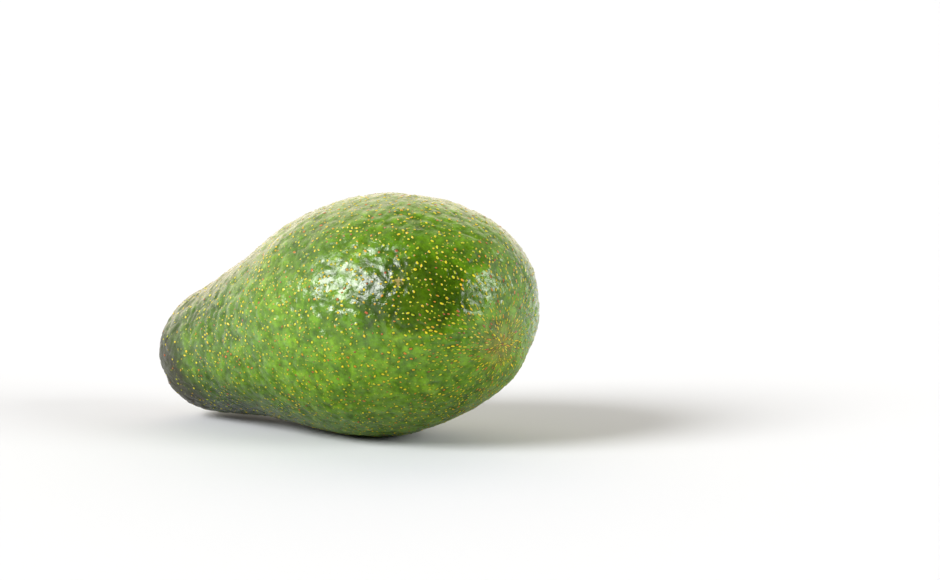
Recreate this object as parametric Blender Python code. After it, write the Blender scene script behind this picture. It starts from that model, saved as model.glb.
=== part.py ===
"""A whole avocado lying on its side: the fruit, and the woody button its stem left in the neck end.

Metres, +Z up. The fruit's long axis lies along X, with the stem end at -X and the blossom end at +X.
The origin is on the surface it rests on, under the middle of its box.
"""

import math

import bmesh
import bpy
from mathutils import Matrix, Vector

# The fruit: a bent middle line, and round sections square to it.
CORE_LENGTH = 0.1255
FULLNESS = (0.61, 0.19, 0.50, 0.715, 0.525, 0.78)  # how full the outline is, stem end to blossom end
HEIGHT_SHARE = 0.965  # a section is a little lower than it is wide
NECK_DROOP = math.radians(17)  # the middle line climbs this steeply at the stem end and levels out
RINGS = 44
SIDES = 56

# The flat spot it rests on.
FLAT_DEPTH = 0.0005

# The stem button and the socket in the neck that it sits in.
BUTTON_RADIUS = 0.0038
BUTTON_PROUD = 0.0010
BUTTON_BEVEL = 0.0005
SOCKET_DEPTH = 0.0030
SOCKET_GAP = 0.0003
SOCKET_OVERSHOOT = 0.0040
BUTTON_SIDES = 24


def clear_scene():
    for thing in list(bpy.data.objects):
        bpy.data.objects.remove(thing, do_unlink=True)


def make_material(name, colour, roughness):
    material = bpy.data.materials.new(name)
    material.use_nodes = True
    shader = material.node_tree.nodes["Principled BSDF"]
    shader.inputs["Base Color"].default_value = (*colour, 1.0)
    shader.inputs["Roughness"].default_value = roughness
    shader.inputs["Metallic"].default_value = 0.0
    return material


def add_object(name, mesh_data, material):
    mesh = bpy.data.meshes.new(name)
    mesh_data.normal_update()
    mesh_data.to_mesh(mesh)
    mesh_data.free()
    mesh.materials.append(material)
    mesh.shade_smooth()
    mesh.set_sharp_from_angle(angle=math.radians(40))
    thing = bpy.data.objects.new(name, mesh)
    bpy.context.scene.collection.objects.link(thing)
    return thing


def pitch_at(share):
    """How steeply the middle line climbs at this share of the way from the stem end."""
    return NECK_DROOP * (1 - share**2)


def radius_at(share):
    """Round at both ends, with the fullness values blended between them."""
    last = len(FULLNESS) - 1
    fullness = sum(
        value * math.comb(last, i) * share**i * (1 - share) ** (last - i)
        for i, value in enumerate(FULLNESS)
    )
    return CORE_LENGTH * fullness * math.sqrt(share * (1 - share))


def core_point(share, steps=60):
    """Where the middle line has got to, measured from the stem end."""
    length = CORE_LENGTH * share / steps
    pitches = [pitch_at(share * (i + 0.5) / steps) for i in range(steps)]
    return Vector((
        length * sum(math.cos(pitch) for pitch in pitches),
        0.0,
        length * sum(math.sin(pitch) for pitch in pitches),
    ))


def section(share):
    """One ring of points, square to the middle line."""
    centre = core_point(share)
    radius = radius_at(share)
    pitch = pitch_at(share)
    across = Vector((0, 1, 0))
    upward = Vector((-math.sin(pitch), 0, math.cos(pitch))) * HEIGHT_SHARE
    turns = [2 * math.pi * i / SIDES for i in range(SIDES)]
    return [centre + radius * (across * math.cos(turn) + upward * math.sin(turn)) for turn in turns]


def fruit_mesh():
    """Rings bunched towards the round ends, bridged to each other and to a point at each end."""
    shares = [(1 - math.cos(math.pi * i / RINGS)) / 2 for i in range(1, RINGS)]
    body = bmesh.new()
    rings = [[body.verts.new(point) for point in section(share)] for share in shares]
    stem_tip = body.verts.new(core_point(0))
    blossom_tip = body.verts.new(core_point(1))
    for i in range(SIDES):
        following = (i + 1) % SIDES
        body.faces.new((stem_tip, rings[0][i], rings[0][following]))
        body.faces.new((blossom_tip, rings[-1][following], rings[-1][i]))
        for near, far in zip(rings, rings[1:]):
            body.faces.new((near[i], far[i], far[following], near[following]))
    bmesh.ops.recalc_face_normals(body, faces=body.faces)
    return body


def cut_flat_spot(body):
    """Takes the lowest sliver off and closes the cut, so that the fruit has a flat face to rest on."""
    height = min(vertex.co.z for vertex in body.verts) + FLAT_DEPTH
    everything = body.verts[:] + body.edges[:] + body.faces[:]
    cut = bmesh.ops.bisect_plane(
        body,
        geom=everything,
        plane_co=(0, 0, height),
        plane_no=(0, 0, -1),
        clear_outer=True,
    )
    rim = [element for element in cut["geom_cut"] if isinstance(element, bmesh.types.BMEdge)]
    bmesh.ops.holes_fill(body, edges=rim, sides=0)
    bmesh.ops.recalc_face_normals(body, faces=body.faces)


def resting_shift(body):
    """From the stem end's own place to the middle of the box, on the surface."""
    xs = [vertex.co.x for vertex in body.verts]
    lowest = min(vertex.co.z for vertex in body.verts)
    return Vector((-(min(xs) + max(xs)) / 2, 0, -lowest))


def make_plug(radius, bottom, top):
    """A round plug along Z."""
    plug = bmesh.new()
    bmesh.ops.create_cone(
        plug,
        cap_ends=True,
        segments=BUTTON_SIDES,
        radius1=radius,
        radius2=radius,
        depth=top - bottom,
        matrix=Matrix.Translation((0, 0, (bottom + top) / 2)),
    )
    return plug


def round_off_top(plug, width):
    highest = max(vertex.co.z for vertex in plug.verts)
    rim = [edge for edge in plug.edges if all(v.co.z > highest - 1e-6 for v in edge.verts)]
    bmesh.ops.bevel(plug, geom=rim, offset=width, segments=2, profile=0.5, affect="EDGES")


clear_scene()
skin_green = make_material("avocado_skin", (0.10, 0.23, 0.03), 0.38)
stem_brown = make_material("dried_stem", (0.42, 0.14, 0.04), 0.85)

fruit_body = fruit_mesh()
cut_flat_spot(fruit_body)
shift = resting_shift(fruit_body)
bmesh.ops.translate(fruit_body, vec=shift, verts=fruit_body.verts)
fruit = add_object("fruit", fruit_body, skin_green)

# Both plugs stand on the stem end, with their own +Z pointing out of it along the middle line.
stem_place = Matrix.Translation(shift) @ Matrix.Rotation(-math.pi / 2 - NECK_DROOP, 4, "Y")

socket_mesh = make_plug(BUTTON_RADIUS + SOCKET_GAP, -SOCKET_DEPTH, SOCKET_OVERSHOOT)
socket_cutter = add_object("socket_cutter", socket_mesh, skin_green)
socket_cutter.matrix_world = stem_place
socket_cutter.hide_render = True
socket_cutter.display_type = "WIRE"
socket = fruit.modifiers.new("socket", "BOOLEAN")
socket.operation = "DIFFERENCE"
socket.solver = "EXACT"
socket.object = socket_cutter

button_mesh = make_plug(BUTTON_RADIUS, SOCKET_GAP - SOCKET_DEPTH, BUTTON_PROUD)
round_off_top(button_mesh, BUTTON_BEVEL)
stem_button = add_object("stem_button", button_mesh, stem_brown)
stem_button.matrix_world = stem_place
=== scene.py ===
"""A whole green avocado lying on its side, with the dried button of its stem in the neck end.

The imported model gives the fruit's place and size. The two pieces made here, skin and stem button,
stand for its two nodes. Lengths are metres.
"""

import math

import bpy
import numpy as np
from mathutils import Matrix, Vector, kdtree, noise


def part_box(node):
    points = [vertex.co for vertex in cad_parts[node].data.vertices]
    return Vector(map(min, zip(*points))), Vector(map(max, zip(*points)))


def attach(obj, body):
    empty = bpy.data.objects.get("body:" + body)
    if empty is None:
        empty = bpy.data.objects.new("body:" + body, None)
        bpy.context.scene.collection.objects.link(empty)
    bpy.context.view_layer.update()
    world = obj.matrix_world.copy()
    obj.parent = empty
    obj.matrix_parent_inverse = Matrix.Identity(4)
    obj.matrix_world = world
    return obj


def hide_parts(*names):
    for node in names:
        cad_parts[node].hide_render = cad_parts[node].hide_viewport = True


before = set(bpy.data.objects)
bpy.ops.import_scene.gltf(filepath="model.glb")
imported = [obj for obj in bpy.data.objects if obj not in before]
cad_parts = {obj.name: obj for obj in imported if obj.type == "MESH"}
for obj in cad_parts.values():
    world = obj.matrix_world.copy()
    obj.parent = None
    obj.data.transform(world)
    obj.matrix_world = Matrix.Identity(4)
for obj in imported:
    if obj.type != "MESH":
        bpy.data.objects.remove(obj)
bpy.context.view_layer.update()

# ----------------------------------------------------------------------------------------------
# The skin: the tough, waxy outside that grew round the whole fruit in one piece. It is a pear
# shape round a middle line that droops at the neck, and it lies on a small flat on its belly.
# ----------------------------------------------------------------------------------------------

core_length = 0.1255
fullness = (0.64, 0.19, 0.50, 0.715, 0.525, 0.74)  # blended from the stem end to the blossom end
height_share = 0.965  # of the width
neck_droop = math.radians(17)
middle_line_steps, outline_steps = 600, 4000

sides = 352
row_gap = 0.00064
row_gap_at_stem, close_rows_reach = 0.00026, 0.011  # where the skin is creased most


def climb_at(share):
    """How steeply the middle line climbs at this share of the way from the stem end."""
    return neck_droop * (1 - share**2)


def middle_line(share):
    """How far along and how far up the middle line is, from the stem end."""
    fine = np.linspace(0, 1, middle_line_steps)
    climb = climb_at((fine[1:] + fine[:-1]) / 2)
    step = core_length / (len(fine) - 1)
    along = np.concatenate(([0], np.cumsum(np.cos(climb)) * step))
    up = np.concatenate(([0], np.cumsum(np.sin(climb)) * step))
    return np.interp(share, fine, along), np.interp(share, fine, up)


def radius_at(share):
    """How far the skin is from the middle line."""
    last = len(fullness) - 1
    blend = sum(
        value * math.comb(last, i) * share**i * (1 - share) ** (last - i)
        for i, value in enumerate(fullness)
    )
    return core_length * blend * np.sqrt(share * (1 - share))


def hump(distance, width, middle=0.0):
    """1 in the middle, falling away to almost nothing two widths from it."""
    return np.exp(-(((distance - middle) / width) ** 2))


def row_shares():
    """Where the rows of points go: evenly along the outline, closing up towards the stem end."""
    share = (1 - np.cos(np.linspace(0, math.pi, outline_steps))) / 2
    steps = np.hypot(np.diff(share) * core_length, np.diff(radius_at(share)))
    outline = np.concatenate(([0], np.cumsum(steps)))
    gap = row_gap - (row_gap - row_gap_at_stem) * hump(outline, close_rows_reach)
    rows = np.concatenate(([0], np.cumsum(np.diff(outline) / ((gap[1:] + gap[:-1]) / 2))))
    return np.interp(np.arange(1, int(rows[-1])), rows, share)


shares = row_shares()
row_count = len(shares)
along, up = middle_line(shares)
turns = 2 * math.pi * np.arange(sides) / sides
ring = radius_at(shares)[:, None]
climb = climb_at(shares)[:, None]
lift = ring * np.sin(turns) * height_share
grid = np.stack(
    (
        along[:, None] - np.sin(climb) * lift,
        ring * np.cos(turns),
        up[:, None] + np.cos(climb) * lift,
    ),
    axis=-1,
)
ends = np.stack(middle_line(np.array([0.0, 1.0])), axis=-1)
stem_tip, blossom_tip = (np.array([x, 0.0, z]) for x, z in ends)
points = np.vstack((grid.reshape(-1, 3), stem_tip, blossom_tip))

# The top and the blossom end are where the frame has them, so the whole skin is.
fruit_low, fruit_high = (np.array(corner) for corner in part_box("fruit"))
to_frame = np.array([fruit_high[0] - points[:, 0].max(), 0.0, fruit_high[2] - points[:, 2].max()])
points += to_frame
stem_tip = stem_tip + to_frame
stem_out = np.array([-math.cos(neck_droop), 0.0, -math.sin(neck_droop)])
rest_height = fruit_low[2]

# Each quad's corners by row and side, and a fan at each end.
row, side = np.meshgrid(np.arange(row_count - 1), np.arange(sides), indexing="ij")
next_side = (side + 1) % sides
quads = np.stack(
    (
        row * sides + side,
        row * sides + next_side,
        (row + 1) * sides + next_side,
        (row + 1) * sides + side,
    ),
    axis=-1,
).reshape(-1, 4)
around = np.arange(sides)
next_around = (around + 1) % sides
last_row = (row_count - 1) * sides
stem_point, blossom_point = row_count * sides, row_count * sides + 1
stem_fan = np.stack((np.full(sides, stem_point), next_around, around), axis=-1)
blossom_fan = np.stack(
    (np.full(sides, blossom_point), last_row + around, last_row + next_around), axis=-1
)

skin_mesh = bpy.data.meshes.new("skin")
skin_mesh.from_pydata(
    points.tolist(), [], quads.tolist() + stem_fan.tolist() + blossom_fan.tolist()
)
skin_mesh.shade_smooth()

# The skin unrolled, from stem to blossom, so that a baked map gives every part of it its own room.
unrolled = skin_mesh.uv_layers.new(name="OFBake")
quad_u = np.stack((side, side + 1, side + 1, side), axis=-1).reshape(-1)
quad_v = np.stack((row, row, row + 1, row + 1), axis=-1).reshape(-1) + 1
stem_fan_u = np.stack((around + 0.5, around + 1, around), axis=-1).reshape(-1)
stem_fan_v = np.tile((0, 1, 1), sides)
blossom_fan_u = np.stack((around + 0.5, around, around + 1), axis=-1).reshape(-1)
blossom_fan_v = np.tile((row_count + 1, row_count, row_count), sides)
uvs = np.stack(
    (
        np.concatenate((quad_u, stem_fan_u, blossom_fan_u)) / sides,
        np.concatenate((quad_v, stem_fan_v, blossom_fan_v)) / (row_count + 1),
    ),
    axis=-1,
)
unrolled.uv.foreach_set("vector", uvs.astype(np.float32).reshape(-1))


def normals_of(mesh):
    found = np.empty(len(mesh.vertices) * 3, np.float32)
    mesh.vertex_normals.foreach_get("vector", found)
    return found.reshape(-1, 3).astype(float)


def at_each(places, measure):
    return np.array([measure(Vector(place)) for place in places])


def noise_at(places, size, shift=(0, 0, 0)):
    """Smooth noise of about this size, from -1 to 1. Each shift gives a pattern of its own."""
    return at_each(places, lambda place: noise.noise(place / size + Vector(shift)))


def away_from_lines(value, line_width):
    """0 where a noise passes through nought, which is along winding lines, and 1 away from them."""
    return np.minimum(np.abs(value) / line_width, 1.0)


def spokes_at(turn, distance, fineness, length):
    """Places to read a noise at so that it makes spokes, each about this long."""
    round_ring = (np.cos(turn) * fineness, np.sin(turn) * fineness)
    return np.stack((*round_ring, distance / length), axis=-1)


def ease(value, low, high):
    """0 below low, 1 above high, smooth between."""
    t = np.clip((value - low) / (high - low), 0, 1)
    return t * t * (3 - 2 * t)


outward = normals_of(skin_mesh)
from_stem = np.linalg.norm(points - stem_tip, axis=1)

# The dried flower's mark isn't quite at the end of the fruit, but a little below and to one side.
blossom_scar = np.array([0.0599, -0.0066, 0.0306])
from_blossom = np.linalg.norm(points - blossom_scar, axis=1)

# Pebbling: soft cushions with creases between them and winding folds across them, over slow
# hollows and swellings. It is weaker in patches and fades out at the blossom end.
swelling_size, swelling_height = 0.030, 0.00045
hollow_size, hollow_height = 0.011, 0.00050
cushion_size, cushion_height, cushion_middle = 0.0047, 0.00024, 0.6
cushion_steepness, cushion_bend, cushion_bend_size = 2.2, 0.35, 0.006
fold_size, fold_depth, fold_middle = 0.0058, 0.00028, 0.7
fold_width, fold_bend, fold_bend_size = 0.16, 0.25, 0.004
ripple_size, ripple_height = 0.0022, 0.00011
pebble_patch_size = 0.022


def cushion(place):
    """High in the middle of a cushion and low in the crease where it meets the next one."""
    bend = noise.noise_vector(place / cushion_bend_size) * cushion_bend
    nearest = noise.voronoi(place / cushion_size + bend)[0]
    return min((nearest[1] - nearest[0]) * cushion_steepness, 1.0)


def fold_noise(place):
    bend = noise.noise_vector(place / fold_bend_size) * fold_bend
    return noise.noise(place / fold_size + bend)


cushions = at_each(points, cushion)
folds = away_from_lines(at_each(points, fold_noise), fold_width)
ripples = noise_at(points, ripple_size, (1, 5, 8))
pebbled = 0.55 + 0.45 * ease(noise_at(points, pebble_patch_size, (3, 9, 5)), -0.4, 0.4)
pebbled *= 0.35 + 0.65 * ease(from_blossom, 0.004, 0.020)
height = swelling_height * noise_at(points, swelling_size)
height += hollow_height * noise_at(points, hollow_size, (7, 1, 3))
height += pebbled * cushion_height * (cushions - cushion_middle)
height += pebbled * fold_depth * (folds - fold_middle)
height += pebbled * ripple_height * ripples
crest = 0.35 * cushions + 0.35 * folds + 0.9 * ripples + 0.15  # about 0 in a crease, 1 on a pebble

# A healed nick on the flank, a small star that the skin puckers round.
nick_place = (0.0395, -0.0276, 0.0486)
nick_fold_depth, nick_fold_width, nick_fold_ring, nick_fold_reach = 0.00026, 0.15, 0.0038, 0.0032
nick_depth, nick_reach = 0.00016, 0.0020
nick = points[np.argmin(np.linalg.norm(points - nick_place, axis=1))]
from_nick = np.linalg.norm(points - nick, axis=1)
nick_turn = np.arctan2(points[:, 2] - nick[2], points[:, 0] - nick[0])
nick_spokes = spokes_at(nick_turn, from_nick, fineness=1.7, length=0.006)
nick_folds = away_from_lines(noise_at(nick_spokes, 1, (6, 1, 4)), nick_fold_width)
height += nick_fold_depth * (nick_folds - 1) * hump(from_nick, nick_fold_reach, nick_fold_ring)
height -= nick_depth * hump(from_nick, nick_reach)

# Towards the stem the skin draws into radial puckers and creases, round a shallow dimple. The
# button's socket is in the dimple's middle, inside a raised lip.
pucker_height, pucker_ring, pucker_reach = 0.00060, 0.008, 0.008
crease_depth, crease_width, crease_ring, crease_reach = 0.00042, 0.13, 0.0085, 0.0042
crease_fineness = 1.3
dimple_depth, dimple_reach = 0.00120, 0.0080
lip_height, lip_ring, lip_reach = 0.00040, 0.0046, 0.0007
socket_depth, socket_floor, socket_brim = 0.0022, 0.0034, 0.0043
axis_up = np.cross(stem_out, (0, 1, 0))
stem_turn = np.arctan2((points - stem_tip) @ axis_up, points[:, 1])
stem_spokes = spokes_at(stem_turn, from_stem, fineness=2.4, length=0.014)
pucker = noise_at(stem_spokes, 1, (4, 2, 0))
crease = away_from_lines(noise_at(stem_spokes * crease_fineness, 1, (9, 4, 2)), crease_width)
height += pucker_height * pucker * hump(from_stem, pucker_reach, pucker_ring)
height += crease_depth * (crease - 1) * hump(from_stem, crease_reach, crease_ring)
height -= dimple_depth * hump(from_stem, dimple_reach)
height += lip_height * (0.6 + pucker) * hump(from_stem, lip_reach, lip_ring)
height -= socket_depth * (1 - ease(from_stem, socket_floor, socket_brim))

# Corky spots. Each is centred on a point of the mesh, so that it stands up as a small dome. They
# are about 2 mm apart on the belly, crowd towards the blossom end, and thin out round the stem.
spot_gap, spot_gap_drop, spot_gap_reach = 0.00112, 0.38, 0.015  # less near the blossom scar
spot_share = 0.135  # of the points, where each has the usual room
usual_room = row_gap * 0.00062  # square metres a point, at the usual gap between sides
bare_round_stem = 0.0085  # no spots nearer the stem than this
crowding, crowding_reach = 2.6, 0.019
spot_patch_size = 0.016
usual_spot, spot_spread, largest_spot = 0.00026, 0.33, 0.00037
spot_swing_spread = 0.8
draw = np.random.default_rng(11)
outline_so_far = np.cumsum(np.linalg.norm(np.diff(grid[:, 0], axis=0, prepend=grid[:1, 0]), axis=1))
room_in_row = np.gradient(outline_so_far) * ring[:, 0] * 2 * math.pi / sides
room = np.concatenate((np.repeat(room_in_row, sides), (0, 0)))
crowd = 1 + crowding * hump(from_blossom, crowding_reach)
crowd *= 0.12 + 0.88 * ease(from_stem, 0.012, 0.042)
crowd *= 0.6 + 0.8 * ease(noise_at(points, spot_patch_size, (2, 2, 9)), -0.5, 0.5)
wanted = spot_share * crowd * room / usual_room
wanted[from_stem < bare_round_stem] = 0
candidates = np.flatnonzero(draw.random(len(points)) < wanted)
draw.shuffle(candidates)
gap_at = spot_gap * (1 - spot_gap_drop * hump(from_blossom, spot_gap_reach))


def far_enough_apart(indices):
    """Keeps each point that has no kept point too close to it."""
    kept, cells = [], {}
    for index in indices:
        cell = tuple((points[index] // spot_gap).astype(int))
        near = [
            other
            for x in (-1, 0, 1)
            for y in (-1, 0, 1)
            for z in (-1, 0, 1)
            for other in cells.get((cell[0] + x, cell[1] + y, cell[2] + z), ())
        ]
        least = gap_at[index] ** 2
        if all(np.sum((points[index] - points[other]) ** 2) > least for other in near):
            cells.setdefault(cell, []).append(index)
            kept.append(index)
    return np.array(kept)


spots = far_enough_apart(candidates)
spot_count = len(spots)
spot_centre = points[spots]
spot_radius = np.minimum(usual_spot * np.exp(draw.normal(0, spot_spread, spot_count)), largest_spot)
spot_radius *= 1.04 + 0.12 * outward[spots, 2]  # largest on the side that grew uppermost
spot_stretch = 1 + 0.75 * draw.random(spot_count)
spot_stretch += 1.9 * hump(from_blossom[spots], crowding_reach)
spot_swing = draw.normal(0, spot_swing_spread, spot_count) * ease(from_blossom[spots], 0.012, 0.040)

# Three numbers for each spot: its colour, how strong it is, and whether it has a dark middle.
spot_kinds = draw.random((spot_count, 3))
reddening, reddening_reach = 0.24, 0.011
near_blossom = hump(from_blossom[spots], reddening_reach)
spot_kinds[:, 0] += reddening * near_blossom * draw.random(spot_count)

# Each spot's longer axis, towards the blossom scar give or take its swing, and its shorter one.
lengthwise = blossom_scar - spot_centre
lengthwise -= np.sum(lengthwise * outward[spots], axis=1)[:, None] * outward[spots]
lengthwise /= np.maximum(np.linalg.norm(lengthwise, axis=1), 1e-9)[:, None]
sideways = np.cross(outward[spots], lengthwise)
swing = spot_swing[:, None]
lengthwise, sideways = (
    lengthwise * np.cos(swing) + sideways * np.sin(swing),
    sideways * np.cos(swing) - lengthwise * np.sin(swing),
)
lengthwise /= (spot_radius * np.sqrt(spot_stretch))[:, None]
sideways /= (spot_radius / np.sqrt(spot_stretch))[:, None]

# Each face's corners hold where they are within its two nearest spots, in those spots' own radii.
corner_point = np.empty(len(skin_mesh.loops), np.int32)
skin_mesh.loops.foreach_get("vertex_index", corner_point)
face_sizes = np.empty(len(skin_mesh.polygons), np.int32)
skin_mesh.polygons.foreach_get("loop_total", face_sizes)
corner_face = np.repeat(np.arange(len(face_sizes)), face_sizes)
face_middles = np.stack(
    [np.bincount(corner_face, points[corner_point, axis]) / face_sizes for axis in range(3)],
    axis=-1,
)
tree_of_spots = kdtree.KDTree(spot_count)
for number, centre in enumerate(spot_centre):
    tree_of_spots.insert(centre, number)
tree_of_spots.balance()
nearest_two = np.array(
    [[found[1] for found in tree_of_spots.find_n(middle, 2)] for middle in face_middles]
)


def keep_values(mesh, name, domain, values):
    kind, field = ("FLOAT_VECTOR", "vector") if values.ndim == 2 else ("FLOAT", "value")
    layer = mesh.attributes.new(name, kind, domain)
    layer.data.foreach_set(field, values.astype(np.float32).reshape(-1))


for nth, owner in (("first", nearest_two[:, 0]), ("second", nearest_two[:, 1])):
    owner = owner[corner_face]
    offset = points[corner_point] - spot_centre[owner]
    x = np.sum(offset * lengthwise[owner], axis=1)
    y = np.sum(offset * sideways[owner], axis=1)
    keep_values(skin_mesh, nth + "_spot", "CORNER", np.stack((x, y, 0 * x), axis=-1))
    keep_values(skin_mesh, nth + "_kind", "CORNER", spot_kinds[owner])

spot_dome_height, spot_dome_reach = 0.00010, 0.00040
spot_distance = np.array([tree_of_spots.find(place)[2] for place in points])
height += spot_dome_height * hump(spot_distance, spot_dome_reach)

points = points + outward * height[:, None]
points[:, 2] = np.maximum(points[:, 2], rest_height)
skin_mesh.vertices.foreach_set("co", points.astype(np.float32).reshape(-1))
skin_mesh.update()

# How the skin is marked: russet freckling, partly painted sheen, on the side that grew uppermost,
# a dark purple-grey patch at one side of the neck's tip, painted shade on a patch of the flank, a
# deeper green on the neck, painted shade underneath and faintly on top, and the wax rubbed where it
# lay.
# Skin that faces up, where russet is laid that is partly a painted sheen.
upper_russet_and_painted_sheen = ease(outward[:, 2], 0.20, 0.95) * (1 - 0.6 * ease(from_stem, 0.05, 0.11))
# A dark purple-grey patch at one side of the neck's tip.
dark_neck_patch_middle, dark_neck_patch_core, dark_neck_patch_reach = (-0.056, -0.014, 0.012), 0.006, 0.024
from_dark_neck_patch = np.linalg.norm(points - dark_neck_patch_middle, axis=1)
dark_neck_patch = 1.05 * (1 - ease(from_dark_neck_patch, dark_neck_patch_core, dark_neck_patch_reach)) + 0.12 * pucker
# Painted shade on a ragged patch of the flank.
painted_shade_patch_middle = (0.0440, -0.0275, 0.0450)
painted_shade_patch_reach, painted_shade_patch_squash = 0.0200, 1.75  # it is wider than it is high
from_painted_shade_patch = np.linalg.norm((points - painted_shade_patch_middle) * (1, 1, painted_shade_patch_squash), axis=1)
painted_shade_patch = np.maximum(1 - from_painted_shade_patch / painted_shade_patch_reach, -1)
# A deeper green on the neck, with painted shade on the underside and, more faintly, on the top.
deeper_neck_and_painted_shade = 0.37 * (1 - ease(from_stem, 0.030, 0.080))
deeper_neck_and_painted_shade += 0.50 * ease(-outward[:, 2], 0.25, 0.95) + 0.20 * ease(outward[:, 2], 0.1, 0.6)
rubbed = ease(-outward[:, 2], -0.05, 0.70)
skin_values = {
    "from_stem": from_stem,
    "from_blossom": from_blossom,
    "from_nick": from_nick,
    "crest": crest,
    "upper_russet_and_painted_sheen": upper_russet_and_painted_sheen,
    "dark_neck_patch": dark_neck_patch,
    "painted_shade_patch": painted_shade_patch,
    "deeper_neck_and_painted_shade": deeper_neck_and_painted_shade,
    "rubbed": rubbed,
}
for name, values in skin_values.items():
    keep_values(skin_mesh, name, "POINT", values)

skin = bpy.data.objects.new("skin", skin_mesh)
bpy.context.scene.collection.objects.link(skin)


def linear(hex_colour):
    """An sRGB hex colour as linear red, green, blue and alpha."""
    parts = [int(hex_colour[i : i + 2], 16) / 255 for i in (0, 2, 4)]
    return (*(c / 12.92 if c <= 0.04045 else ((c + 0.055) / 1.055) ** 2.4 for c in parts), 1.0)


def add(tree, kind, inputs=None, stops=None, **settings):
    """Adds a node: inputs are sockets' values or links, stops a ramp's places and hex colours.

    Sockets that share their names go by number. A map range's are from low 1, from high 2, to
    low 3 and to high 4. A mix has its two numbers at 2 and 3, vectors at 4 and 5, colours at 6
    and 7.
    """
    made = tree.nodes.new(kind)
    for name, value in settings.items():
        setattr(made, name, value)
    for key, value in (inputs or {}).items():
        if isinstance(value, bpy.types.NodeSocket):
            tree.links.new(value, made.inputs[key])
        else:
            made.inputs[key].default_value = value
    for i, (place, colour) in enumerate(stops or ()):
        elements = made.color_ramp.elements
        element = elements[i] if i < 2 else elements.new(place)
        element.position, element.color = place, linear(colour)
    return made


def new_material(name):
    material = bpy.data.materials.new(name)
    material.use_nodes = True
    return material, material.node_tree, material.node_tree.nodes["Principled BSDF"]


# Avocado skin: a thick green rind under a thin natural wax. The wax gives the eye sharp, broken
# highlights over a softer sheen; the rind is mottled green, with yellow to rust-red corky spots.
avocado_rind, rind, rind_shader = new_material("waxy_avocado_rind")
place = add(rind, "ShaderNodeTexCoord").outputs["Object"]
on_skin = {
    name: add(rind, "ShaderNodeAttribute", attribute_name=name).outputs["Fac"]
    for name in skin_values
}

mottle_size, patch_size, grain_size = 0.0060, 0.024, 0.0010
mottle = add(
    rind,
    "ShaderNodeTexNoise",
    {"Vector": place, "Scale": 1 / mottle_size, "Detail": 5, "Roughness": 0.62},
).outputs["Fac"]
patches = add(
    rind, "ShaderNodeTexNoise", {"Vector": place, "Scale": 1 / patch_size, "Detail": 3}
).outputs["Fac"]
mottle_and_patches = add(rind, "ShaderNodeMix", {"Factor": 0.40, 2: mottle, 3: patches}).outputs[0]
greens = add(
    rind,
    "ShaderNodeValToRGB",
    {"Fac": mottle_and_patches},
    stops=((0.32, "4c760b"), (0.72, "82a61a"), (0.46, "5b860b"), (0.58, "6b960e")),
).outputs["Color"]
grain = add(
    rind, "ShaderNodeTexNoise", {"Vector": place, "Scale": 1 / grain_size, "Detail": 4}
).outputs["Fac"]
grain_tone = add(
    rind, "ShaderNodeMapRange", {"Value": grain, 1: 0.3, 2: 0.7, 3: 0.72, 4: 1.28}
).outputs[0]
# Painted shade and light on the pebbles: the green is darker in the creases and lighter on the
# crests.
painted_pebble_shade_tone = add(
    rind, "ShaderNodeMapRange", {"Value": on_skin["crest"], 1: 0.0, 2: 1.2, 3: 0.64, 4: 1.22}
).outputs[0]
grain_and_painted_pebble_shade_tone = add(
    rind, "ShaderNodeMath", {0: grain_tone, 1: painted_pebble_shade_tone}, operation="MULTIPLY"
).outputs[0]

# The neck is a deeper green. Painted shade darkens the underside, faintly the top, and a ragged
# patch of the flank.
weathering_and_shade_noise_size = 0.0052
weathering_and_shade_noise = add(
    rind,
    "ShaderNodeTexNoise",
    {"Vector": place, "Scale": 1 / weathering_and_shade_noise_size, "Detail": 7, "Roughness": 0.62},
).outputs["Fac"]
ragged_shade = add(
    rind,
    "ShaderNodeMath",
    {0: weathering_and_shade_noise, 1: 0.9, 2: on_skin["painted_shade_patch"]},
    operation="MULTIPLY_ADD",
).outputs[0]
# Painted shade: the flank's patch is darkened, and the noise makes its edge ragged.
painted_shade_patch_tone = add(
    rind, "ShaderNodeMapRange", {"Value": ragged_shade, 1: 0.42, 2: 0.78, 3: 1.0, 4: 0.40}
).outputs[0]
deeper_neck_and_painted_shade_tone = add(
    rind, "ShaderNodeMath", {0: 1.0, 1: on_skin["deeper_neck_and_painted_shade"]}, operation="SUBTRACT"
).outputs[0]
shade_tone = add(
    rind, "ShaderNodeMath", {0: painted_shade_patch_tone, 1: deeper_neck_and_painted_shade_tone}, operation="MULTIPLY"
).outputs[0]
tone = add(rind, "ShaderNodeMath", {0: grain_and_painted_pebble_shade_tone, 1: shade_tone}, operation="MULTIPLY").outputs[0]
grained = add(
    rind, "ShaderNodeVectorMath", {0: greens, "Scale": tone}, operation="SCALE"
).outputs[0]


def weathered(under, reach, soonest, fullest, most, colour):
    """Lays a colour over another where the weathering's noise plus its reach passes a level."""
    level = add(rind, "ShaderNodeMath", {0: weathering_and_shade_noise, 1: reach}, operation="ADD").outputs[0]
    amount = add(
        rind, "ShaderNodeMapRange", {"Value": level, 1: soonest, 2: fullest, 3: 0.0, 4: most}
    ).outputs[0]
    over = add(
        rind, "ShaderNodeMix", {"Factor": amount, 6: under, 7: linear(colour)}, data_type="RGBA"
    ).outputs[2]
    return amount, over


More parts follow.
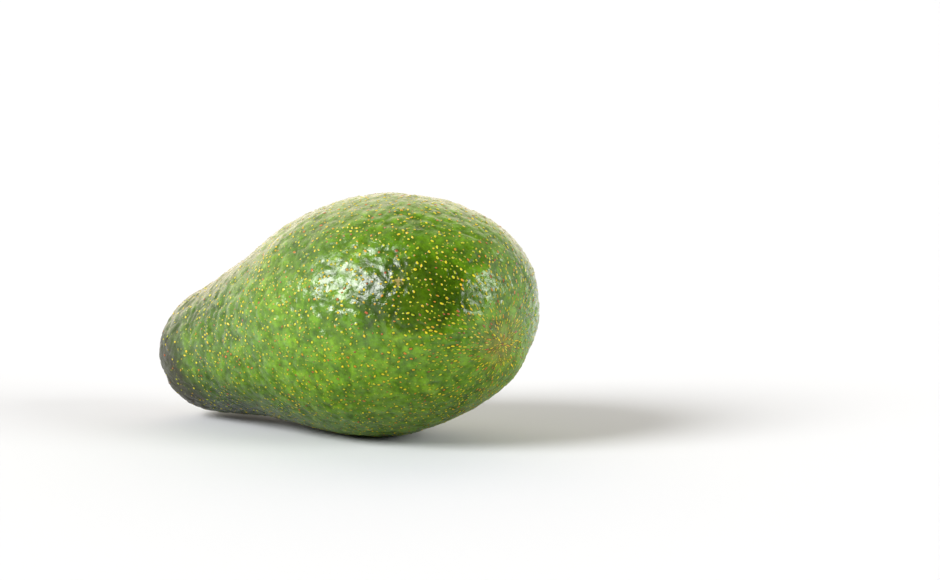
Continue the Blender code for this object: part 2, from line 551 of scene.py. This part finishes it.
# Round the stem the green turns dull and greyish, and one side of the neck's tip is a dark
# purple grey, in streaks that run away from the stem.
dull_from, dull_to = 0.006, 0.036
dull_reach = add(
    rind,
    "ShaderNodeMapRange",
    {"Value": on_skin["from_stem"], 1: dull_from, 2: dull_to, 3: 0.55, 4: 0.0},
).outputs[0]
dull_amount, dulled_green = weathered(grained, dull_reach, 0.55, 1.0, 0.75, "36441c")
dark_neck_patch_amount, with_neck = weathered(
    dulled_green, on_skin["dark_neck_patch"], 0.62, 1.25, 0.80, "393230"
)

# The side that grew uppermost is finely russeted: brown cork freckling over the green, partly a
# painted sheen on the top.
russet_size = 0.0021
russet_noise = add(
    rind,
    "ShaderNodeTexNoise",
    {"Vector": place, "Scale": 1 / russet_size, "Detail": 7, "Roughness": 0.72},
).outputs["Fac"]
russet_and_painted_sheen_edge = add(
    rind,
    "ShaderNodeMath",
    {0: on_skin["upper_russet_and_painted_sheen"], 1: 0.44, 2: -0.70},
    operation="MULTIPLY_ADD",
).outputs[0]
russet_and_painted_sheen_sum = add(
    rind, "ShaderNodeMath", {0: russet_noise, 1: russet_and_painted_sheen_edge}, operation="ADD"
).outputs[0]
russet_and_painted_sheen_amount = add(
    rind, "ShaderNodeMapRange", {"Value": russet_and_painted_sheen_sum, 1: 0.14, 2: 0.40, 3: 0.0, 4: 0.70}
).outputs[0]
with_russet_and_painted_sheen = add(
    rind,
    "ShaderNodeMix",
    {"Factor": russet_and_painted_sheen_amount, 6: with_neck, 7: linear("a2905c")},
    data_type="RGBA",
).outputs[2]

# A thin, uneven rim of yellow-green to orange skin round the button's socket.
rim_from, rim_to, rim_raggedness = 0.0056, 0.0066, 0.0024
ragged_distance = add(
    rind,
    "ShaderNodeMath",
    {0: weathering_and_shade_noise, 1: rim_raggedness, 2: on_skin["from_stem"]},
    operation="MULTIPLY_ADD",
).outputs[0]
rim_amount = add(
    rind,
    "ShaderNodeMapRange",
    {"Value": ragged_distance, 1: rim_from, 2: rim_to, 3: 0.9, 4: 0.0},
).outputs[0]
rim_colour = add(
    rind,
    "ShaderNodeValToRGB",
    {"Fac": ragged_distance},
    stops=((0.0052, "9a4a18"), (0.0064, "857c1c"), (0.0058, "a3741c")),
).outputs["Color"]
with_rim = add(
    rind,
    "ShaderNodeMix",
    {"Factor": rim_amount, 6: with_russet_and_painted_sheen, 7: rim_colour},
    data_type="RGBA",
).outputs[2]

# Between the corky spots are finer ones that never grew cork: pale yellow-green pores.
pore_gap, pores_from, pores_to = 0.0015, 0.012, 0.030
pores = add(
    rind, "ShaderNodeTexVoronoi", {"Vector": place, "Scale": 1 / pore_gap}
).outputs["Distance"]
pore_amount = add(
    rind, "ShaderNodeMapRange", {"Value": pores, 1: 0.13, 2: 0.19, 3: 0.65, 4: 0.0}
).outputs[0]
pores_fade = add(
    rind,
    "ShaderNodeMapRange",
    {"Value": on_skin["from_stem"], 1: pores_from, 2: pores_to, 3: 0.0, 4: 1.0},
).outputs[0]
pore_mix = add(
    rind, "ShaderNodeMath", {0: pore_amount, 1: pores_fade}, operation="MULTIPLY"
).outputs[0]
with_pores = add(
    rind,
    "ShaderNodeMix",
    {"Factor": pore_mix, 6: with_rim, 7: linear("a9b02c")},
    data_type="RGBA",
).outputs[2]

# Round the blossom scar the green turns tan in fine rays, and the scar itself is a brown dot.
ray_size, tan_from, tan_to = 0.0012, 0.001, 0.014
scar_from, scar_to = 0.0003, 0.0009
tan_noise = add(
    rind, "ShaderNodeTexNoise", {"Vector": place, "Scale": 1 / ray_size, "Detail": 3}
).outputs["Fac"]
tan_reach = add(
    rind,
    "ShaderNodeMapRange",
    {"Value": on_skin["from_blossom"], 1: tan_from, 2: tan_to, 3: 0.34, 4: -0.30},
).outputs[0]
tan_sum = add(rind, "ShaderNodeMath", {0: tan_noise, 1: tan_reach}, operation="ADD").outputs[0]
tan_amount = add(
    rind, "ShaderNodeMapRange", {"Value": tan_sum, 1: 0.40, 2: 0.95, 3: 0.0, 4: 0.42}
).outputs[0]
tanned = add(
    rind,
    "ShaderNodeMix",
    {"Factor": tan_amount, 6: with_pores, 7: linear("a07c34")},
    data_type="RGBA",
).outputs[2]
scar_amount = add(
    rind,
    "ShaderNodeMapRange",
    {"Value": on_skin["from_blossom"], 1: scar_from, 2: scar_to, 3: 0.6, 4: 0.0},
).outputs[0]
with_scar = add(
    rind,
    "ShaderNodeMix",
    {"Factor": scar_amount, 6: tanned, 7: linear("4e3018")},
    data_type="RGBA",
).outputs[2]

# The nick healed as brown cork, with thin arms.
cork_size, nick_raggedness = 0.0008, -0.0041
nick_inner_edge, nick_outer_edge = -0.0012, -0.0008
nick_noise = add(
    rind, "ShaderNodeTexNoise", {"Vector": place, "Scale": 1 / cork_size, "Detail": 3}
).outputs["Fac"]
nick_edge = add(
    rind,
    "ShaderNodeMath",
    {0: nick_noise, 1: nick_raggedness, 2: on_skin["from_nick"]},
    operation="MULTIPLY_ADD",
).outputs[0]
nick_amount = add(
    rind,
    "ShaderNodeMapRange",
    {"Value": nick_edge, 1: nick_inner_edge, 2: nick_outer_edge, 3: 0.85, 4: 0.0},
).outputs[0]
with_nick = add(
    rind,
    "ShaderNodeMix",
    {"Factor": nick_amount, 6: with_scar, 7: linear("9a8a4e")},
    data_type="RGBA",
).outputs[2]

# The corky spots, each with its own colour and a slightly ragged edge, some with a dark middle.
# Distances within a spot are in its own radii.
ragged_size, raggedness = 0.00045, 0.85
ragged_noise = add(
    rind, "ShaderNodeTexNoise", {"Vector": place, "Scale": 1 / ragged_size, "Detail": 1}
).outputs["Color"]
ragged_shift = add(
    rind, "ShaderNodeVectorMath", {0: ragged_noise, 1: (0.5, 0.5, 0.5)}, operation="SUBTRACT"
).outputs[0]


def spot_reach_and_kind(nth):
    in_spot = add(rind, "ShaderNodeAttribute", attribute_name=nth + "_spot").outputs["Vector"]
    ragged_place = add(
        rind,
        "ShaderNodeVectorMath",
        {0: ragged_shift, 1: (raggedness, raggedness, 0.0), 2: in_spot},
        operation="MULTIPLY_ADD",
    ).outputs[0]
    reach = add(
        rind, "ShaderNodeVectorMath", {0: ragged_place}, operation="LENGTH"
    ).outputs["Value"]
    return reach, add(rind, "ShaderNodeAttribute", attribute_name=nth + "_kind").outputs["Vector"]


first_reach, first_kind = spot_reach_and_kind("first")
second_reach, second_kind = spot_reach_and_kind("second")
spot_reach = add(
    rind, "ShaderNodeMath", {0: first_reach, 1: second_reach}, operation="MINIMUM"
).outputs[0]
in_second = add(
    rind, "ShaderNodeMath", {0: first_reach, 1: second_reach}, operation="GREATER_THAN"
).outputs[0]
nearer_kind = add(
    rind,
    "ShaderNodeMix",
    {"Factor": in_second, 4: first_kind, 5: second_kind},
    data_type="VECTOR",
).outputs[1]
spot_kind = add(rind, "ShaderNodeSeparateXYZ", {0: nearer_kind})
spot_amount = add(
    rind, "ShaderNodeMapRange", {"Value": spot_reach, 1: 1.15, 2: 0.80, 3: 0.0, 4: 1.0}
).outputs[0]
spot_colour = add(
    rind,
    "ShaderNodeValToRGB",
    {"Fac": spot_kind.outputs["X"]},
    stops=(
        (0.0, "b8c428"),
        (1.0, "b0523a"),
        (0.22, "e2da2a"),
        (0.72, "f0d024"),
        (0.86, "e09c22"),
        (0.95, "cc6a34"),
    ),
).outputs["Color"]
# Each spot turns olive towards its edge: painted shade down the sides of its dome.
spot_edge_painted_shade = add(
    rind, "ShaderNodeMapRange", {"Value": spot_reach, 1: 0.65, 2: 1.05, 3: 0.0, 4: 0.45}
).outputs[0]
spot_with_painted_edge_shade = add(
    rind,
    "ShaderNodeMix",
    {"Factor": spot_edge_painted_shade, 6: spot_colour, 7: linear("6c7016")},
    data_type="RGBA",
).outputs[2]
in_middle = add(
    rind, "ShaderNodeMapRange", {"Value": spot_reach, 1: 0.50, 2: 0.15, 3: 0.0, 4: 0.7}
).outputs[0]
has_core = add(
    rind, "ShaderNodeMath", {0: spot_kind.outputs["Z"], 1: 0.74}, operation="GREATER_THAN"
).outputs[0]
core_amount = add(
    rind, "ShaderNodeMath", {0: in_middle, 1: has_core}, operation="MULTIPLY"
).outputs[0]
cored = add(
    rind,
    "ShaderNodeMix",
    {"Factor": core_amount, 6: spot_with_painted_edge_shade, 7: linear("4a2414")},
    data_type="RGBA",
).outputs[2]
own_strength = add(
    rind, "ShaderNodeMapRange", {"Value": spot_kind.outputs["Y"], 3: 0.60, 4: 1.0}
).outputs[0]
spot_strength = add(
    rind, "ShaderNodeMath", {0: spot_amount, 1: own_strength}, operation="MULTIPLY"
).outputs[0]
# A darker ring round each spot: partly the skin's own olive ring, partly painted shade at the foot
# of its dome.
painted_spot_shade_ring = add(
    rind,
    "ShaderNodeMapRange",
    {"Value": spot_reach, 1: 1.05, 2: 2.1, 3: 0.58, 4: 1.0},
    interpolation_type="SMOOTHSTEP",
).outputs[0]
with_painted_spot_shade_ring = add(
    rind, "ShaderNodeVectorMath", {0: with_nick, "Scale": painted_spot_shade_ring}, operation="SCALE"
).outputs[0]
with_spots = add(
    rind,
    "ShaderNodeMix",
    {"Factor": spot_strength, 6: with_painted_spot_shade_ring, 7: cored},
    data_type="RGBA",
).outputs[2]
rind.links.new(with_spots, rind_shader.inputs["Base Color"])

# The wax is thick on the pebbles' crests and thin in the creases and on the cork, and its gloss
# varies from patch to patch. It is duller round the stem, and rubbed off where the fruit lies.
gloss = add(
    rind, "ShaderNodeMapRange", {"Value": patches, 1: 0.35, 2: 0.65, 3: 0.24, 4: 0.36}
).outputs[0]
duller_cork = add(
    rind, "ShaderNodeMath", {0: spot_amount, 1: 0.25, 2: gloss}, operation="MULTIPLY_ADD"
).outputs[0]
duller_neck = add(
    rind, "ShaderNodeMath", {0: dull_amount, 1: 0.18, 2: duller_cork}, operation="MULTIPLY_ADD"
).outputs[0]
rind.links.new(duller_neck, rind_shader.inputs["Roughness"])
wax_patch_size = 0.0032
wax_noise = add(
    rind,
    "ShaderNodeTexNoise",
    {"Vector": place, "Scale": 1 / wax_patch_size, "Detail": 6, "Roughness": 0.65},
).outputs["Fac"]
wax = add(
    rind, "ShaderNodeMapRange", {"Value": wax_noise, 1: 0.36, 2: 0.64, 3: 0.35, 4: 1.0}
).outputs[0]
wax_on_crests = add(
    rind, "ShaderNodeMath", {0: on_skin["crest"], 1: 0.20, 2: wax}, operation="MULTIPLY_ADD"
).outputs[0]
wax_off_cork = add(
    rind, "ShaderNodeMath", {0: spot_amount, 1: -0.5, 2: wax_on_crests}, operation="MULTIPLY_ADD"
).outputs[0]
wax_off_dark_neck_patch = add(
    rind,
    "ShaderNodeMath",
    {0: dark_neck_patch_amount, 1: -0.8, 2: wax_off_cork},
    operation="MULTIPLY_ADD",
    use_clamp=True,
).outputs[0]
wax_left = add(
    rind,
    "ShaderNodeMath",
    {0: on_skin["rubbed"], 1: -0.80, 2: wax_off_dark_neck_patch},
    operation="MULTIPLY_ADD",
    use_clamp=True,
).outputs[0]
rind.links.new(wax_left, rind_shader.inputs["Coat Weight"])
rind_shader.inputs["IOR"].default_value = 1.45
rind_shader.inputs["Specular IOR Level"].default_value = 0.20
rind_shader.inputs["Coat Roughness"].default_value = 0.08
rind_shader.inputs["Coat IOR"].default_value = 1.55

# Fine relief: the pores' orange peel at about a millimetre, and each spot's dome.
peel_size, relief_depth = 0.0012, 0.00019
peel = add(
    rind,
    "ShaderNodeTexNoise",
    {"Vector": place, "Scale": 1 / peel_size, "Detail": 4, "Roughness": 0.6},
).outputs["Fac"]
dome = add(
    rind,
    "ShaderNodeMapRange",
    {"Value": spot_reach, 1: 1.5, 2: 0.2, 3: 0.0, 4: 1.0},
    interpolation_type="SMOOTHSTEP",
).outputs[0]
relief = add(
    rind, "ShaderNodeMath", {0: dome, 1: 0.65, 2: peel}, operation="MULTIPLY_ADD"
).outputs[0]
bumped = add(
    rind, "ShaderNodeBump", {"Height": relief, "Strength": 1.0, "Distance": relief_depth}
).outputs["Normal"]
rind.links.new(bumped, rind_shader.inputs["Normal"])
rind.links.new(bumped, rind_shader.inputs["Coat Normal"])

skin_mesh.materials.append(avocado_rind)
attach(skin, "root")
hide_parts("fruit")

# ----------------------------------------------------------------------------------------------
# The stem button: the last of the fruit's woody stem, dried hard and cracked where it broke
# from the twig. It sits in the socket in the neck end and pops out when the fruit is ripe.
# ----------------------------------------------------------------------------------------------

button_radius = 0.0039
button_narrow, button_wide = 0.90, 1.08  # it isn't quite round
button_depth = 0.0020
button_sink = 0.0006  # from the skin's end to the button's middle
button_rows, button_sides, wall_count = 34, 96, 6
wall_flare = 0.01
edge_height, edge_ring, edge_reach = 0.00040, 0.86, 0.10  # ring and reach in radii
lump_size, lump_height = 0.0016, 0.00055
crack_size, crack_bend, crack_bend_size, crack_width = 0.0017, 0.4, 0.001, 0.28
crack_depth, cracks_end = 0.00060, 0.92
shoulder_drop, shoulder_from, shoulder_to = 0.0006, 0.0036, 0.0040
wobble_size, wobble_share = 0.0024, 0.16

rows = np.linspace(0, 1, button_rows + 1)[1:]
angles = 2 * math.pi * np.arange(button_sides) / button_sides
top_rows = [(button_radius * r, 0.0) for r in rows]
wall_rows = [
    (button_radius * (1.0 + wall_flare * i), -button_depth * i / wall_count)
    for i in range(1, wall_count + 1)
]
button_points = [Vector((0, 0, 0))]
for radius, depth in top_rows + wall_rows:
    button_points += [
        Vector((radius * math.cos(a) * button_narrow, radius * math.sin(a) * button_wide, depth))
        for a in angles
    ]
button_points.append(Vector((0, 0, -button_depth)))


def button_height(place):
    """Rough broken wood: a pale raised edge round a sunken, cracked middle."""
    reach = math.hypot(place.x / button_narrow, place.y / button_wide) / button_radius
    lumps = noise.noise(place / lump_size + Vector((5, 5, 1)))
    bend = noise.noise_vector(place / crack_bend_size) * crack_bend
    nearest = noise.voronoi(place / crack_size + bend)[0]
    crack = min((nearest[1] - nearest[0]) / crack_width, 1.0)
    height = edge_height * hump(reach, edge_reach, edge_ring) + lump_height * lumps
    return height + crack_depth * (crack - 1) * (reach < cracks_end)


for point in button_points[:-1]:
    if point.z > -button_depth * 0.1:
        from_middle = math.hypot(point.x, point.y)
        shoulder = shoulder_drop * ease(from_middle, shoulder_from, shoulder_to)
        point.z += button_height(point) - shoulder
    flat_place = Vector((point.x, point.y, 0)) / wobble_size
    wobble = 1 + wobble_share * noise.noise(flat_place + Vector((3, 3, 3)))
    point.x, point.y = point.x * wobble, point.y * wobble

button_faces = [(0, 1 + j, 1 + (j + 1) % button_sides) for j in range(button_sides)]
button_row_count = len(top_rows) + len(wall_rows)
for i in range(button_row_count - 1):
    near, far = 1 + i * button_sides, 1 + (i + 1) * button_sides
    for j in range(button_sides):
        k = (j + 1) % button_sides
        button_faces.append((near + j, far + j, far + k, near + k))
bottom = len(button_points) - 1
last = 1 + (button_row_count - 1) * button_sides
button_faces += [(bottom, last + (j + 1) % button_sides, last + j) for j in range(button_sides)]

button_middle = Vector(stem_tip - stem_out * button_sink)
button_turn = Matrix.Rotation(-math.pi / 2 - neck_droop, 4, "Y")
stem_place = Matrix.Translation(button_middle) @ button_turn
button_mesh = bpy.data.meshes.new("stem_button_wood")
button_mesh.from_pydata([stem_place @ p for p in button_points], [], button_faces)
button_mesh.shade_smooth()
button = bpy.data.objects.new("stem_button_wood", button_mesh)
bpy.context.scene.collection.objects.link(button)

# Dried stem wood. It gives the eye a dull, fibrous rust orange with a paler pinkish edge and
# dark cracks, and no gleam beside the waxy skin.
stem_wood, wood, wood_shader = new_material("dried_stem_wood")
fibre_size, fibre_depth = 0.0011, 0.00015
wood_place = add(wood, "ShaderNodeTexCoord").outputs["Object"]
fibres = add(
    wood,
    "ShaderNodeTexNoise",
    {"Vector": wood_place, "Scale": 1 / fibre_size, "Detail": 6, "Roughness": 0.7},
).outputs["Fac"]
wood_colour = add(
    wood,
    "ShaderNodeValToRGB",
    {"Fac": fibres},
    stops=((0.30, "2c0f06"), (0.76, "d3a587"), (0.42, "72290d"), (0.54, "a84914"), (0.65, "b96f3a")),
).outputs["Color"]
wood.links.new(wood_colour, wood_shader.inputs["Base Color"])
wood_gloss = add(
    wood, "ShaderNodeMapRange", {"Value": fibres, 1: 0.35, 2: 0.65, 3: 0.85, 4: 0.45}
).outputs[0]
wood.links.new(wood_gloss, wood_shader.inputs["Roughness"])
wood_shader.inputs["IOR"].default_value = 1.5
wood_bump = add(
    wood, "ShaderNodeBump", {"Height": fibres, "Distance": fibre_depth}
).outputs["Normal"]
wood.links.new(wood_bump, wood_shader.inputs["Normal"])

button_mesh.materials.append(stem_wood)
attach(button, "root")
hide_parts("stem_button")

# ----------------------------------------------------------------------------------------------
# The table it lies on: a wide sheet of smooth card. It only lies there, under the belly's flat,
# and reaches far enough that its edge doesn't show.
# ----------------------------------------------------------------------------------------------

table_reach = 60.0
table_corners = [
    (x * table_reach, y * table_reach, float(rest_height))
    for x, y in ((-1, -1), (1, -1), (1, 1), (-1, 1))
]
table_mesh = bpy.data.meshes.new("table")
table_mesh.from_pydata(table_corners, [], [(0, 1, 2, 3)])
table = bpy.data.objects.new("table", table_mesh)
bpy.context.scene.collection.objects.link(table)

# Pale card. It gives the eye an even, matt white with a soft shadow on it and no reflection.
pale_card, card, card_shader = new_material("pale_card")
card_shader.inputs["Base Color"].default_value = linear("dcdee1")
card_shader.inputs["Roughness"].default_value = 0.9
card_shader.inputs["Specular IOR Level"].default_value = 0.1
table_mesh.materials.append(pale_card)

# ----------------------------------------------------------------------------------------------
# Light and camera: a bright white studio, darker towards the camera's side of the room, with one
# big softbox in front to the left and a smaller one to the right.
# ----------------------------------------------------------------------------------------------


def heading(azimuth, elevation):
    """The direction out from the fruit: azimuth 0 is towards -Y and 90 towards +X, in degrees."""
    a, e = math.radians(azimuth), math.radians(elevation)
    return Vector((math.sin(a) * math.cos(e), -math.cos(a) * math.cos(e), math.sin(e)))


def rightward(azimuth):
    """What is to the right of someone who looks at the fruit from this azimuth."""
    a = math.radians(azimuth)
    return Vector((math.cos(a), math.sin(a), 0))


studio = bpy.data.worlds.new("white_studio")
bpy.context.scene.world = studio
studio.use_nodes = True
air = studio.node_tree
background = air.nodes["Background"]
look_along = add(air, "ShaderNodeTexCoord").outputs["Generated"]


def patch_of_sky(azimuth, elevation, inner, outer, level):
    """Level within inner degrees of a direction, fading to nothing at outer degrees from it."""
    toward = add(
        air,
        "ShaderNodeVectorMath",
        {0: look_along, 1: heading(azimuth, elevation)},
        operation="DOT_PRODUCT",
    ).outputs["Value"]
    faded, full = math.cos(math.radians(outer)), math.cos(math.radians(inner))
    return add(
        air,
        "ShaderNodeMapRange",
        {"Value": toward, 1: faded, 2: full, 3: 0.0, 4: level},
        interpolation_type="SMOOTHSTEP",
    ).outputs[0]


room_light, ceiling_dimming, back_wall_level = 0.70, 0.75, 0.95
dark_front = patch_of_sky(azimuth=55, elevation=10, inner=48, outer=76, level=room_light)
dim_ceiling = patch_of_sky(
    azimuth=0, elevation=90, inner=22, outer=55, level=ceiling_dimming * room_light
)
left_softbox = patch_of_sky(azimuth=-26, elevation=34, inner=12, outer=17, level=17.5)
left_glow = patch_of_sky(azimuth=-40, elevation=33, inner=8, outer=28, level=0.6)
right_softbox = patch_of_sky(azimuth=100, elevation=21, inner=10, outer=18, level=9.6)
back_wall = patch_of_sky(azimuth=-140, elevation=28, inner=22, outer=56, level=back_wall_level)
dark = add(air, "ShaderNodeMath", {0: dark_front, 1: dim_ceiling}, operation="MAXIMUM").outputs[0]
lit = add(air, "ShaderNodeMath", {0: room_light, 1: dark}, operation="SUBTRACT").outputs[0]
for lamp in (left_softbox, left_glow, right_softbox, back_wall):
    lit = add(air, "ShaderNodeMath", {0: lit, 1: lamp}, operation="ADD").outputs[0]

# The camera sees plain white beyond the table, as bright as the table, so no horizon shows.
table_brightness = 1.02
seen = add(air, "ShaderNodeLightPath").outputs["Is Camera Ray"]
shown = add(air, "ShaderNodeMix", {"Factor": seen, 2: lit, 3: table_brightness}).outputs[0]
air.links.new(shown, background.inputs["Strength"])
back_wall_share = add(
    air, "ShaderNodeMapRange", {"Value": back_wall, 1: 0.0, 2: back_wall_level}
).outputs[0]
warmth = add(
    air, "ShaderNodeMath", {0: back_wall_share, 1: seen}, operation="SUBTRACT", use_clamp=True
).outputs[0]
light_colour = add(
    air,
    "ShaderNodeMix",
    {"Factor": warmth, 6: linear("ffffff"), 7: linear("fff1dc")},
    data_type="RGBA",
).outputs[2]
air.links.new(light_colour, background.inputs["Color"])

# A low black card in front, just out of the camera's sight, which the wax mirrors as a dark patch.
flag_azimuth, flag_distance, flag_width = 46, 0.066, 0.120
flag_bottom, flag_top = 0.0005, 0.088
flank = Vector((0.046, -0.022, 0))
flag_foot = flank + heading(flag_azimuth, 0) * flag_distance
flag_corners = [
    flag_foot + rightward(flag_azimuth) * flag_width * end + Vector((0, 0, z))
    for end, z in ((-0.5, flag_bottom), (0.5, flag_bottom), (0.5, flag_top), (-0.5, flag_top))
]
flag_mesh = bpy.data.meshes.new("black_card")
flag_mesh.from_pydata(flag_corners, [], [(0, 1, 2, 3)])
flag = bpy.data.objects.new("black_card", flag_mesh)
flag.visible_camera = flag.visible_diffuse = False
flag.visible_shadow = flag.visible_transmission = False
bpy.context.scene.collection.objects.link(flag)

# Black felt. It gives the eye nothing but a deep, even dark.
black_felt, felt, felt_shader = new_material("black_felt")
felt_shader.inputs["Base Color"].default_value = linear("161616")
felt_shader.inputs["Roughness"].default_value = 1.0
flag_mesh.materials.append(black_felt)

camera_azimuth, camera_elevation, camera_distance = 33.5, 7, 0.757
aim_right, aim_up = 0.0373, 0.0406
away = heading(camera_azimuth, camera_elevation)
to_right = rightward(camera_azimuth)
aim = to_right * aim_right + away.cross(to_right) * aim_up
camera_data = bpy.data.cameras.new("camera")
camera_data.lens = 100
camera_data.sensor_width = 36
camera = bpy.data.objects.new("camera", camera_data)
camera.location = aim + away * camera_distance
camera.rotation_euler = away.to_track_quat("Z", "Y").to_euler()
bpy.context.scene.collection.objects.link(camera)
bpy.context.scene.camera = camera
bpy.context.scene.view_settings.view_transform = "Standard"
